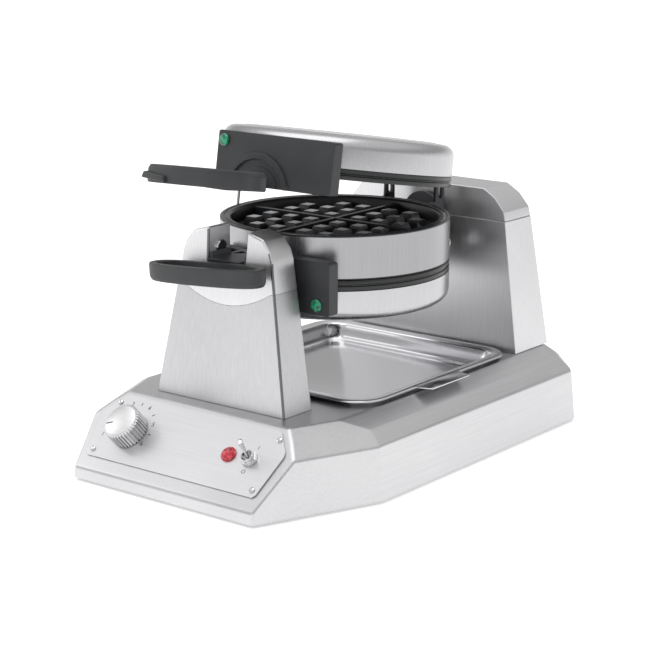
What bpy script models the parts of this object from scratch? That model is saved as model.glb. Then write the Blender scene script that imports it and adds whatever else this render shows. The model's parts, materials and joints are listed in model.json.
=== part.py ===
"""Double rotary waffle maker: a round double grid unit that turns between two pylons on a faceted base.

Lengths are in millimetres and become metres when a mesh is made. X runs along the control panel, Y from
the panel to the back, Z up. The origin is under the middle of the base, on the surface it stands on.
"""
import math

import bmesh
import bpy
from mathutils import Matrix, Vector

MM = 0.001
GAP = 0.3  # between pieces that touch
SHEET = 1.6  # pressed steel of the base and the pylons

# Base
BASE_FRONT = -225.0
BASE_REAR = 225.0
BASE_HALF_WIDTH = 151.0
COVER_FOOT = 3.0  # the rubber feet hold the cover this high
WALL_TOP = 50.6  # where the side walls turn into the bevelled top
BEVEL_TOP = 61.0
DECK = 70.0  # the flat top of the base
SLOPE_FOOT = (-222.1, 15.3)  # the control panel's slope, (y, z) of its lower and upper edge
SLOPE_HEAD = (-164.0, DECK)
SLOPE_ANGLE = math.atan2(SLOPE_HEAD[1] - SLOPE_FOOT[1], SLOPE_HEAD[0] - SLOPE_FOOT[0])

# Control panel, in the slope's own plane: x and distance up from the slope's foot
PANEL_THICK = 1.2
DIAL_AT = (-63.5, 41.2)
LAMP_AT = (50.4, 42.6)
SWITCH_AT = (74.1, 42.7)
SCREWS_AT = [(-91.9, 16.5), (91.9, 16.5), (-91.9, 66.4), (91.9, 66.4)]
SHAFT_RADIUS = 3.0
LEVER_REST = math.radians(11.4)  # the lever leans up the slope, switched on

# Drip tray
TRAY_HALF_WIDTH = 112.0
TRAY_FRONT = -83.0
TRAY_REAR = 154.0
TRAY_TOP = 75.0
TRAY_SHEET = 1.2

# Pylons
FRONT_PYLON = {"half_width": 73.6, "taper": 0.186, "front": -146.8, "front_lean": 0.0961,
               "rear": -108.1, "rear_lean": 0.031}
REAR_PYLON = {"half_width": 110.4, "taper": 0.1448, "front": 159.5, "front_lean": 0.0332,
              "rear": 216.5, "rear_lean": -0.0601}
FRONT_SEAM = 174.0
FRONT_SEAM_SAG = 16.0
REAR_SEAM = 196.4

# Turning unit
AXIS_Z = 195.6
UNIT_Y = 17.5  # the middle of the round housings
RADIUS = 106.0
ROUND_STEPS = 40
FACE = 19.7  # from the axis to the face where a lid meets the middle housing
LID_GAP = 0.4
CAVITY_RADIUS = 96.0
CAVITY_DEPTH = 13.0
PEG_PITCH = 24.0
NOTCH_HALF = 21.0
ARM_RADIUS = 12.0

# Lids, measured from the axis when closed
LID_RIM = 29.6
LID_TOP = 58.1
BLOCK_LEFT = -48.6
BLOCK_RIGHT = 81.5
BLOCK_FACE = -94.5
BLOCK_LOW = 6.0
BLOCK_HIGH = 52.0
PIVOT_Y = 142.5
PIVOT_Z = 23.0  # hinge pin above the axis, lid closed
LID_FLOAT = 15.2
LID_OPEN = math.radians(9.4)
TOP_TWIST = math.radians(2.0)  # both handles sit a little turned on their arms, the lower one more
BOTTOM_TWIST = math.radians(4.0)
TOP_RING_LOW = 4.0  # the ring's face next to the other handle, from the axis
BOTTOM_RING_LOW = -1.5
RING_HEIGHT = 15.6

STEEL = ((0.62, 0.62, 0.63), 0.32, 1.0)
POLISHED = ((0.72, 0.72, 0.73), 0.16, 1.0)
CHROME = ((0.80, 0.80, 0.81), 0.08, 1.0)
PANEL_METAL = ((0.78, 0.78, 0.79), 0.38, 0.8)
CAST = ((0.10, 0.10, 0.105), 0.42, 0.6)
BLACK = ((0.045, 0.045, 0.047), 0.5, 0.0)
RUBBER = ((0.03, 0.03, 0.03), 0.85, 0.0)
NYLON = ((0.20, 0.20, 0.20), 0.5, 0.0)
RED = ((0.62, 0.02, 0.05), 0.2, 0.0)
GREEN = ((0.03, 0.42, 0.30), 0.25, 0.0)


def clear_scene():
    for old in list(bpy.data.objects):
        bpy.data.objects.remove(old, do_unlink=True)


def material_of(name, finish):
    colour, roughness, metallic = finish
    material = bpy.data.materials.new(name)
    material.use_nodes = True
    shader = material.node_tree.nodes["Principled BSDF"]
    shader.inputs["Base Color"].default_value = (*colour, 1.0)
    shader.inputs["Roughness"].default_value = roughness
    shader.inputs["Metallic"].default_value = metallic
    return material


def make(name, bm, finish, place=None):
    """Turns a bmesh in millimetres into an object, with its faces pointing out."""
    if place is not None:
        bmesh.ops.transform(bm, matrix=place, verts=bm.verts)
    bmesh.ops.scale(bm, vec=(MM, MM, MM), verts=bm.verts)
    bmesh.ops.recalc_face_normals(bm, faces=bm.faces)
    mesh = bpy.data.meshes.new(name)
    bm.to_mesh(mesh)
    bm.free()
    mesh.shade_smooth()
    mesh.set_sharp_from_angle(angle=math.radians(35))
    mesh.materials.append(material_of(name, finish))
    obj = bpy.data.objects.new(name, mesh)
    bpy.context.scene.collection.objects.link(obj)
    return obj


def skin(bm, rows, closed):
    """Faces between rows of vertices; a row that is one vertex repeated is a pole."""
    follow = rows[1:] + rows[:1] if closed else rows[1:]
    for row, after in zip(rows, follow):
        for i in range(len(row)):
            j = (i + 1) % len(row)
            corners = []
            for corner in (row[i], row[j], after[j], after[i]):
                if corner not in corners:
                    corners.append(corner)
            if len(corners) > 2:
                bm.faces.new(corners)


def turned(profile, steps=ROUND_STEPS, closed=True):
    """A profile of (radius, height) turned about Z. An open profile starts and ends on the axis."""
    bm = bmesh.new()
    rows = []
    for radius, height in profile:
        if radius == 0:
            rows.append([bm.verts.new((0, 0, height))] * steps)
            continue
        ring = [2 * math.pi * i / steps for i in range(steps)]
        rows.append([bm.verts.new((radius * math.cos(a), radius * math.sin(a), height)) for a in ring])
    skin(bm, rows, closed)
    return bm


def rod(radius, low, high, steps=16):
    return turned([(0, low), (radius, low), (radius, high), (0, high)], steps, closed=False)


def loft(*loops):
    """A closed solid through loops of points that have equal counts."""
    bm = bmesh.new()
    rows = [[bm.verts.new(point) for point in loop] for loop in loops]
    skin(bm, rows, closed=False)
    bm.faces.new(rows[0])
    bm.faces.new(rows[-1])
    return bm


def prism(outline, low, high):
    return loft([(x, y, low) for x, y in outline], [(x, y, high) for x, y in outline])


def box(x0, x1, y0, y1, z0, z1):
    return prism([(x0, y0), (x1, y0), (x1, y1), (x0, y1)], z0, z1)


def joined(*parts):
    """Several separate solids in one mesh, for a cutter or for a union."""
    whole = bmesh.new()
    for part in parts:
        mesh = bpy.data.meshes.new("part")
        part.to_mesh(mesh)
        part.free()
        whole.from_mesh(mesh)
        bpy.data.meshes.remove(mesh)
    return whole


def combine(obj, tool, operation):
    """Cuts the tool, a bmesh in millimetres, from an object, joins it on, or keeps what both share."""
    other = make("tool", tool, BLACK)
    step = obj.modifiers.new("combine", "BOOLEAN")
    step.operation = operation
    step.solver = "EXACT"
    step.object = other
    bpy.context.view_layer.update()
    evaluated = obj.evaluated_get(bpy.context.evaluated_depsgraph_get())
    result = bpy.data.meshes.new_from_object(evaluated)
    obj.modifiers.clear()
    obj.data = result
    bpy.data.objects.remove(other, do_unlink=True)
    keep = obj.data.materials[0]
    obj.data.materials.clear()
    obj.data.materials.append(keep)
    return obj


def cut(obj, tool):
    return combine(obj, tool, "DIFFERENCE")


def rounded_rectangle(x0, x1, y0, y1, radius, steps=5):
    points = []
    corners = [(x1 - radius, y1 - radius, 0), (x0 + radius, y1 - radius, 90),
               (x0 + radius, y0 + radius, 180), (x1 - radius, y0 + radius, 270)]
    for cx, cy, start in corners:
        for i in range(steps + 1):
            angle = math.radians(start + 90 * i / steps)
            points.append((cx + radius * math.cos(angle), cy + radius * math.sin(angle)))
    return points


def at_height(outline, z):
    return [(x, y, z) for x, y in outline]


def on_slope(x, up, out=0.0):
    """The frame of a piece on the panel's slope: X along it, Y up it, Z straight out of it."""
    foot = Matrix.Translation((0, *SLOPE_FOOT)) @ Matrix.Rotation(SLOPE_ANGLE, 4, "X")
    return foot @ Matrix.Translation((x, up, out))


def moved(bm, place):
    bmesh.ops.transform(bm, matrix=place, verts=bm.verts)
    return bm


# ---------------------------------------------------------------- base


def base_loop(z, front, side, rear):
    """An octagon: half widths and places of its front, side and rear corners."""
    (xf, yf), (xs, ysf, ysr), (xr, yr) = front, side, rear
    half = [(xf, yf), (xs, ysf), (xs, ysr), (xr, yr)]
    return [(x, y, z) for x, y in half] + [(-x, y, z) for x, y in reversed(half)]


def base_cover():
    loops = [
        base_loop(COVER_FOOT, (103.5, BASE_FRONT), (BASE_HALF_WIDTH, -108.5, 205.0), (131.0, BASE_REAR)),
        base_loop(WALL_TOP, (99.7, -222.0), (146.2, -107.9, 204.4), (128.5, 223.0)),
        base_loop(BEVEL_TOP, (89.0, -210.0), (133.0, -102.1, 203.0), (119.0, 221.0)),
        base_loop(DECK, (79.9, -196.0), (111.0, -119.9, 201.5), (102.0, 218.0)),
    ]
    bm = bmesh.new()
    for loop in loops:
        for point in loop:
            bm.verts.new(point)
    bmesh.ops.convex_hull(bm, input=bm.verts)
    out = Vector((0, -math.sin(SLOPE_ANGLE), math.cos(SLOPE_ANGLE)))
    bmesh.ops.bisect_plane(bm, geom=bm.verts[:] + bm.edges[:] + bm.faces[:], plane_co=(0, *SLOPE_FOOT),
                           plane_no=out, clear_outer=True)
    bmesh.ops.holes_fill(bm, edges=[edge for edge in bm.edges if edge.is_boundary])
    bmesh.ops.dissolve_limit(bm, angle_limit=math.radians(1), verts=bm.verts, edges=bm.edges)
    floor = [face for face in bm.faces if all(v.co.z < COVER_FOOT + 0.01 for v in face.verts)]
    bmesh.ops.delete(bm, geom=floor, context="FACES_ONLY")
    cover = make("base_cover", bm, STEEL)
    shell = cover.modifiers.new("sheet", "SOLIDIFY")
    shell.thickness = SHEET * MM
    shell.offset = -1
    shell.use_even_offset = True
    well = prism(rounded_rectangle(-101, 101, TRAY_FRONT + 10, TRAY_REAR - 10, 24), DECK - 12, DECK + 5)
    holes = [moved(rod(radius, -8, 8), on_slope(*place)) for place, radius in
             ((DIAL_AT, 5.0), (LAMP_AT, 6.6), (SWITCH_AT, 6.6))]
    holes += [moved(rod(1.6, -8, 8, 8), on_slope(*place)) for place in SCREWS_AT]
    gland = moved(rod(7.0, -12, 12), gland_place())
    return cut(cover, joined(well, gland, *holes))


def gland_place():
    """The frame of the cord's bushing: Z straight out of the rear wall, which leans a little."""
    lean = math.atan2(2.0, WALL_TOP - COVER_FOOT)
    wall = BASE_REAR - 2.0 * (40.0 - COVER_FOOT) / (WALL_TOP - COVER_FOOT)
    return Matrix.Translation((90, wall, 40)) @ Matrix.Rotation(lean - math.pi / 2, 4, "X")


def bottom_plate():
    outline = [(-100, -219), (100, -219), (147, -107), (147, 202), (128.5, 220), (-128.5, 220), (-147, 202),
               (-147, -107)]
    return make("bottom_plate", prism(outline, 4.2, 5.4), STEEL)


def foot(number, x, y):
    profile = [(0, 0), (8.5, 0), (9.5, 0.8), (9.5, 3.9), (0, 3.9)]
    make(f"foot_{number}", turned(profile, 20, closed=False), RUBBER, Matrix.Translation((x, y, 0)))


def tray_well():
    """The pan under the deck's opening, on whose floor the drip tray stands."""
    rim = DECK - SHEET - GAP
    outline = rounded_rectangle(-106, 106, TRAY_FRONT + 4.5, TRAY_REAR - 4.5, 27)
    inside = rounded_rectangle(-104.5, 104.5, TRAY_FRONT + 6, TRAY_REAR - 6, 25.5)
    outer, outer_low = at_height(outline, rim), at_height(outline, 54.0)
    inner, inner_low = at_height(inside, rim), at_height(inside, 55.5)
    bm = bmesh.new()
    rows = [[bm.verts.new(p) for p in loop] for loop in (outer_low, outer, inner, inner_low)]
    skin(bm, rows, closed=False)
    bm.faces.new(rows[0])
    bm.faces.new(rows[-1])
    make("tray_well", bm, STEEL)


def tray_outline(inset):
    half = TRAY_HALF_WIDTH - inset
    return rounded_rectangle(-half, half, TRAY_FRONT + inset, TRAY_REAR - inset, 30 - 0.6 * inset)


def drip_tray():
    floor = 56.4
    stages = [(0.0, TRAY_TOP - 1.8), (0.4, TRAY_TOP - 0.2), (2.0, TRAY_TOP), (10.5, TRAY_TOP - 1.2),
              (13.5, TRAY_TOP - 4), (17.5, floor + TRAY_SHEET + 1.5), (20.0, floor + TRAY_SHEET)]
    under = [(18.8, floor), (16.2, floor + 1.6), (12.3, TRAY_TOP - 4.6), (10.6, TRAY_TOP - 2.4),
             (1.2, TRAY_TOP - 1.8)]
    bm = bmesh.new()
    rows = [[bm.verts.new(p) for p in at_height(tray_outline(inset), z)] for inset, z in under + stages]
    skin(bm, rows, closed=False)
    bm.faces.new(rows[0])
    bm.faces.new(rows[-1])
    tray = make("drip_tray", bm, POLISHED)
    edge = TRAY_HALF_WIDTH - 3
    tab = [(edge, -9), (TRAY_HALF_WIDTH, -9), (127, -4), (127, 56), (TRAY_HALF_WIDTH, 61), (edge, 61)]
    mirrored = [(-x, y) for x, y in reversed(tab)]
    tabs = joined(*[prism(outline, TRAY_TOP - 1.7, TRAY_TOP - 0.3) for outline in (tab, mirrored)])
    return combine(tray, tabs, "UNION")


def control_panel():
    outline = [(-95, 10), (95, 10), (97.5, 13), (104.5, 52), (103.5, 57), (90, 73.5), (86, 75.5),
               (-86, 75.5), (-90, 73.5), (-103.5, 57), (-104.5, 52), (-97.5, 13)]
    panel = make("control_panel", prism(outline, GAP, GAP + PANEL_THICK), PANEL_METAL, on_slope(0, 0))
    holes = [moved(rod(radius, -8, 8), on_slope(*place)) for place, radius in
             ((DIAL_AT, 5.0), (LAMP_AT, 6.6), (SWITCH_AT, 6.6))]
    holes += [moved(rod(1.6, -8, 8, 8), on_slope(*place)) for place in SCREWS_AT]
    return cut(panel, joined(*holes))


PANEL_FACE = GAP + PANEL_THICK


def panel_screw(number, place):
    face = PANEL_FACE + GAP
    shank = [(0, -5), (1.3, -5), (1.3, face)]
    profile = shank + [(2.7, face), (2.5, face + 0.8), (1.4, face + 1.3), (0, face + 1.4)]
    make(f"panel_screw_{number}", turned(profile, 12, closed=False), CHROME, on_slope(*place))


def dial_knob():
    """A ribbed knob with a blind bore on the thermostat's shaft."""
    ribs, low, high = 36, PANEL_FACE + 0.6, PANEL_FACE + 17.5
    loop = []
    for i in range(ribs):
        for fraction, radius in ((0.0, 17.5), (0.5, 17.5), (0.6, 16.1), (0.9, 16.1)):
            angle = 2 * math.pi * (i + fraction) / ribs
            loop.append((radius * math.cos(angle), radius * math.sin(angle)))
    shrink = [(x * 0.9, y * 0.9) for x, y in loop]
    bm = loft(at_height(loop, low), at_height(loop, high - 1.2), at_height(shrink, high))
    knob = make("dial_knob", bm, STEEL)
    cut(knob, rod(SHAFT_RADIUS + 0.3, low - 2, high - 3, 20))
    hang(knob, on_slope(*DIAL_AT))


def along_y(x, y, z):
    """The frame of a turned piece whose axis points to the front."""
    return Matrix.Translation((x, y, z)) @ Matrix.Rotation(math.pi / 2, 4, "X")


def along_x(x, y, z):
    return Matrix.Translation((x, y, z)) @ Matrix.Rotation(math.pi / 2, 4, "Y")


def hang(obj, place):
    """Sets an object's place from a frame in millimetres, so that its origin is on its joint's axis."""
    location = place.to_translation() * MM
    obj.matrix_world = Matrix.Translation(location) @ place.to_3x3().to_4x4()


def thermostat():
    top = PANEL_FACE + 12
    shaft = [(SHAFT_RADIUS, -2.2), (SHAFT_RADIUS, top), (0, top)]
    profile = [(0, -24), (17, -24), (17, -4), (4.5, -4), (4.5, -2.2)] + shaft
    make("thermostat", turned(profile, 20, closed=False), CHROME, on_slope(*DIAL_AT))


def power_lamp():
    face = PANEL_FACE + GAP
    dome = [(6.2, face + 1.6), (5.4, face + 3.0), (3.2, face + 4.4), (0, face + 5)]
    profile = [(0, -12), (6.2, -12), (6.2, face), (7.2, face), (7.2, face + 1.0)] + dome
    make("power_lamp", turned(profile, 20, closed=False), RED, on_slope(*LAMP_AT))


def switch_body():
    """The toggle switch's case behind the panel, its threaded bushing and its nut."""
    face = PANEL_FACE + GAP
    body = make("switch_body", rod(6.2, -16, face + 7), CHROME, on_slope(*SWITCH_AT))
    sixths = [math.radians(60 * i) for i in range(6)]
    hexagon = [(7.6 * math.cos(a), 7.6 * math.sin(a)) for a in sixths]
    nut = moved(prism(hexagon, face, face + 3.4), on_slope(*SWITCH_AT))
    combine(body, nut, "UNION")
    throat = turned([(0, face + 1), (3.6, face + 1), (5.2, face + 8), (0, face + 8)], 12, closed=False)
    return cut(body, moved(throat, on_slope(*SWITCH_AT)))


def switch_lever():
    pivot = PANEL_FACE + GAP + 3.5
    profile = [(0, -1.5), (1.3, -1.2), (1.7, 0.6), (1.5, 6), (2.4, 19), (1.9, 20.8), (0, 21.4)]
    lever = make("switch_lever", turned(profile, 14, closed=False), CHROME)
    hang(lever, on_slope(*SWITCH_AT, pivot) @ Matrix.Rotation(-LEVER_REST, 4, "X"))


def inlet_gland():
    profile = [(4.2, -14), (6.5, -14), (6.5, GAP), (9.5, GAP), (9.3, GAP + 0.7), (4.2, GAP + 0.7)]
    make("inlet_gland", turned(profile, 18), BLACK, gland_place())


# ---------------------------------------------------------------- pylons


def pylon_section(sizes, z, inset=0.0):
    rise = z - DECK
    half = sizes["half_width"] - sizes["taper"] * rise - inset
    front = sizes["front"] + sizes["front_lean"] * rise + inset
    rear = sizes["rear"] + sizes["rear_lean"] * rise - inset
    return half, front, rear


def pylon_solid(sizes, outline, inset):
    """A slab whose outline is (x, z), between the leaning front and rear faces."""
    front = [(x, pylon_section(sizes, z, inset)[1], z) for x, z in outline]
    rear = [(x, pylon_section(sizes, z, inset)[2], z) for x, z in outline]
    return loft(front, rear)


def front_outline(inset, low, notch):
    """Half outlines of the ears, mirrored, with the U-shaped notch that the axle lies in."""
    foot_half = pylon_section(FRONT_PYLON, low, inset)[0]
    side = [(foot_half, low), (52.3 - inset, 191), (51.0 - inset, 200), (47.5 - inset, 209.0),
            (39.5 - inset * 0.8, 219.0 - inset * 0.6)]
    if not notch:
        right = side + [(22, 223.6 - inset)]
        return right + [(-x, z) for x, z in reversed(right)]
    half = NOTCH_HALF + inset
    right = side + [(half + 1.0, 223.6 - inset)]
    angles = [math.radians(20 * i) for i in range(10)]
    arc = [(half * math.cos(a), AXIS_Z - half * math.sin(a)) for a in angles]
    return right + arc + [(-x, z) for x, z in reversed(right)]


def seam_tool(above, clearance):
    """The region above or below the cap's seam, whose front edge sags in an arc."""
    reach = 90.0
    arc = []
    for i in range(13):
        x = -52 + 104 * i / 12
        arc.append((x, FRONT_SEAM - FRONT_SEAM_SAG * (1 - (x / 52) ** 2) + clearance))
    line = [(-reach, FRONT_SEAM + clearance)] + arc + [(reach, FRONT_SEAM + clearance)]
    far = 400.0 if above else -100.0
    outline = line + [(reach, far), (-reach, far)]
    return loft([(x, -200, z) for x, z in outline], [(x, -60, z) for x, z in outline])


def front_pylon():
    low = DECK + GAP
    outline = front_outline(0, low, True)
    hollow = [(x, z) for x, z in front_outline(SHEET, low - 5, True)]
    pylon = make("front_pylon", pylon_solid(FRONT_PYLON, outline, 0), STEEL)
    cut(pylon, pylon_solid(FRONT_PYLON, hollow, SHEET))
    return cut(pylon, seam_tool(True, -GAP / 2))


def front_pylon_cap():
    cap = make("front_pylon_cap", pylon_solid(FRONT_PYLON, front_outline(0, DECK + GAP, True), 0), STEEL)
    cut(cap, pylon_solid(FRONT_PYLON, front_outline(SHEET, DECK - 5, True), SHEET))
    return cut(cap, seam_tool(False, GAP / 2))


def front_saddle():
    """The nylon liner in the notch, on which the axle turns."""
    outer, inner = NOTCH_HALF - 0.6, NOTCH_HALF - 2.4
    top = 6.0
    arc = [math.radians(a) for a in range(0, 181, 15)]
    outside = [(outer * math.cos(a), AXIS_Z - outer * math.sin(a)) for a in arc]
    inside = [(inner * math.cos(a), AXIS_Z - inner * math.sin(a)) for a in reversed(arc)]
    outline = [(outer, AXIS_Z + top)] + outside + [(-outer, AXIS_Z + top), (-inner, AXIS_Z + top)]
    outline += inside + [(inner, AXIS_Z + top)]
    front, rear = [(x, -133.0, z) for x, z in outline], [(x, -106.5, z) for x, z in outline]
    make("front_saddle", loft(front, rear), NYLON)


def rear_outline(inset, low):
    foot_half = pylon_section(REAR_PYLON, low, inset)[0]
    right = [(foot_half, low), (92.1 - inset, REAR_SEAM), (90.0 - inset, 205.5),
             (79.5 - inset * 0.7, 218.0 - inset * 0.7), (66.0 - inset * 0.4, 226.3 - inset)]
    return right + [(-x, z) for x, z in reversed(right)]


def rear_pylon_piece(name, z_low, z_high):
    piece = make(name, pylon_solid(REAR_PYLON, rear_outline(0, DECK + GAP), 0), STEEL)
    cut(piece, pylon_solid(REAR_PYLON, rear_outline(SHEET, DECK - 5), SHEET))
    outside = [box(-150, 150, 100, 250, low, high) for low, high in z_low + z_high]
    bore = moved(rod(16, -20, 20, 24), along_y(0, 160, AXIS_Z))
    cut(piece, joined(*outside))
    return cut(piece, bore)


def rear_bearing():
    profile = [(12.35, -14), (15.6, -14), (15.6, 4.4), (22, 4.4), (22, 7.2), (12.35, 7.2)]
    make("rear_bearing", turned(profile, 24), NYLON, along_y(0, 163, AXIS_Z))


# ---------------------------------------------------------------- turning unit


def unit_place():
    return Matrix.Translation((0, UNIT_Y, AXIS_Z))


def middle_band():
    high = FACE - 1.4
    profile = [(RADIUS, high), (RADIUS, -high), (RADIUS - 1.4, -high), (RADIUS - 1.4, high)]
    make("middle_band", turned(profile), STEEL, unit_place())


def waffle_pegs(floor, direction):
    """Rows of square pegs in four quarters, and the cross that parts the waffle."""
    root, height = floor - direction, 9.5
    parts = []
    for i in range(4):
        for j in range(4):
            x, y = 15.5 + PEG_PITCH * i, 15.5 + PEG_PITCH * j
            if math.hypot(x + 6, y + 6) > CAVITY_RADIUS - 6:
                continue
            for sx in (-1, 1):
                for sy in (-1, 1):
                    levels = [(8.2, root), (5.6, floor + direction * height)]
                    parts.append(loft(*[[(sx * x + a * half, sy * y + b * half, z) for a, b in
                                         ((-1, -1), (1, -1), (1, 1), (-1, 1))] for half, z in levels]))
    arm, reach = 2.2, CAVITY_RADIUS + 0.6
    plus = []
    for turn in range(4):
        for px, py in ((reach, -arm), (reach, arm), (arm, arm)):
            c, s = round(math.cos(turn * math.pi / 2)), round(math.sin(turn * math.pi / 2))
            plus.append((px * c - py * s, px * s + py * c))
    parts.append(prism(plus, root, floor + direction * height))
    return joined(*parts)


def dish(profile, floor, direction, name):
    plate = make(name, turned(profile, 40, closed=False), CAST)
    combine(plate, waffle_pegs(floor, direction), "UNION")
    return plate


def middle_grid(name, side):
    floor, back = FACE - CAVITY_DEPTH, FACE - CAVITY_DEPTH - 2.0
    rim = FACE - 1.1
    cavity = [(0, floor), (CAVITY_RADIUS - 1.5, floor), (CAVITY_RADIUS, FACE - 2)]
    lip = [(CAVITY_RADIUS + 1.5, FACE - 0.4), (CAVITY_RADIUS + 2.5, FACE), (CAVITY_RADIUS + 4.5, FACE),
           (CAVITY_RADIUS + 5.2, FACE - 1.1), (CAVITY_RADIUS + 6.6, FACE - 1.1), (CAVITY_RADIUS + 7.3, FACE),
           (RADIUS - 1.2, FACE), (RADIUS, FACE - 0.5)]
    behind = [(RADIUS, rim), (RADIUS - 2, rim), (RADIUS - 2, rim - 2.5), (CAVITY_RADIUS + 2.5, rim - 3)]
    shape = cavity + lip + behind + [(CAVITY_RADIUS + 1, back), (0, back)]
    profile = [(r, side * z) for r, z in shape]
    grid = dish(profile, side * floor, side, name)
    grid.location = Vector((0, UNIT_Y, AXIS_Z)) * MM


def heater(name, z, home):
    bm = bmesh.new()
    tube, ring = 3.2, 68.0
    rows = []
    for i in range(32):
        a = 2 * math.pi * i / 32
        row = []
        for k in range(6):
            b = 2 * math.pi * k / 6
            out = ring + tube * math.cos(b)
            row.append(bm.verts.new((out * math.cos(a), out * math.sin(a), z + tube * math.sin(b))))
        rows.append(row)
    skin(bm, rows, closed=True)
    return home(make(name, bm, CAST, unit_place()))


def front_tongue():
    """The plate on the middle housing that lies between the two lids' arms, in the front saddle."""
    start, end = UNIT_Y - RADIUS - 0.6, -139.5
    half = NOTCH_HALF - 2.9
    tongue = make("front_tongue", box(-half, half, end, start, AXIS_Z - 2.1, AXIS_Z + 2.1), CAST)
    low, high = AXIS_Z - 5, AXIS_Z + 5
    windows = [prism([(s * 3, -103), (s * 13, -98.5), (s * 13, -112)], low, high) for s in (-1, 1)]
    return cut(tongue, joined(*windows))


def rear_axle():
    start = UNIT_Y + RADIUS + 0.5
    profile = [(0, 0), (13.6, 0), (13.6, 3), (12, 3), (12, 60), (8, 60), (8, 6), (0, 6)]
    place = Matrix.Translation((0, start, AXIS_Z)) @ Matrix.Rotation(-math.pi / 2, 4, "X")
    make("rear_axle", turned(profile, 24, closed=False), CHROME, place)


def hinge_bracket(name, side):
    """A slotted cheek pair behind the middle housing; the lid's pin rides up and down in the slots."""
    start = UNIT_Y + RADIUS + 0.5
    high = 46.0
    back = [(PIVOT_Y + 7, 8.0), (PIVOT_Y + 7, high), (PIVOT_Y - 6, high)]
    profile = [(start, 4.0)] + back + [(PIVOT_Y - 8, 17.4), (start, 17.4)]
    cheeks = []
    for inner, outer in ((28, 31), (-31, -28)):
        loop = [(inner, y, AXIS_Z + side * z) for y, z in profile]
        cheeks.append(loft(loop, [(outer, y, z) for _, y, z in loop]))
    bracket = make(name, cheeks[0], STEEL)
    combine(bracket, cheeks[1], "UNION")
    foot_plate = box(-31, 31, start, start + 2.5, *sorted((AXIS_Z + side * 14.0, AXIS_Z + side * 17.4)))
    combine(bracket, foot_plate, "UNION")
    slot = []
    for end, start_angle in ((PIVOT_Z + LID_FLOAT, 0), (PIVOT_Z, 180)):
        for a in range(0, 181, 30):
            angle = math.radians(start_angle + a)
            slot.append((PIVOT_Y + 3.4 * math.cos(angle), end + 3.4 * math.sin(angle)))
    loop = [(-40, y, AXIS_Z + side * z) for y, z in slot]
    return cut(bracket, loft(loop, [(40, y, z) for _, y, z in loop]))


# ---------------------------------------------------------------- lids


def lid_home(side):
    """Returns the function that hangs a piece, modelled closed, on its lid's empty."""
    pivot = Vector((0, PIVOT_Y, AXIS_Z + side * PIVOT_Z)) * MM
    empty = bpy.data.objects.new("top_lid_frame" if side > 0 else "bottom_lid_frame", None)
    bpy.context.scene.collection.objects.link(empty)
    opened = side > 0
    empty.location = pivot + Vector((0, 0, LID_FLOAT * MM if opened else 0))
    empty.rotation_euler = (-LID_OPEN if opened else 0, 0, 0)

    def home(obj):
        obj.parent = empty
        obj.matrix_parent_inverse = Matrix.Translation(-pivot)
        return obj

    return home


def lid_shell(name, side, home):
    top, low = LID_TOP, LID_RIM + GAP
    outer = [(0, top + 0.3), (86, top + 0.3), (88, top - 0.3), (96, top - 0.6), (101.5, top - 2.4),
             (104.8, top - 6.2), (RADIUS, top - 11.5), (RADIUS, low)]
    inner = [(RADIUS - 1.3, low), (RADIUS - 1.3, top - 11.5), (103.6, top - 6.8), (100.8, top - 3.7),
             (95.7, top - 1.9), (0, top - 1.3)]
    shape = [(r, side * z) for r, z in outer + inner]
    home(make(name, turned(shape, closed=False), STEEL, unit_place()))


def lid_ring(name, side, home):
    low, high = FACE + LID_GAP, LID_RIM
    shape = [(103.2, low), (105.2, low), (RADIUS - 0.2, low + 1), (RADIUS - 0.2, high), (103.2, high)]
    home(make(name, turned([(r, side * z) for r, z in shape]), BLACK, unit_place()))


def lid_grid(name, side, home):
    face = FACE + LID_GAP
    floor, back = face + CAVITY_DEPTH, face + CAVITY_DEPTH + 2.0
    cavity = [(0, floor), (CAVITY_RADIUS - 1.5, floor), (CAVITY_RADIUS, face + 2)]
    lip = [(CAVITY_RADIUS + 1.5, face + 0.4), (CAVITY_RADIUS + 3, face), (102.8, face), (102.8, face + 2.5)]
    shape = cavity + lip + [(CAVITY_RADIUS + 2.5, face + 4), (CAVITY_RADIUS + 1, back), (0, back)]
    grid = dish([(r, side * z) for r, z in shape], side * floor, -side, name)
    grid.data.transform(Matrix.Translation(Vector((0, UNIT_Y, AXIS_Z)) * MM))
    home(grid)


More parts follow.
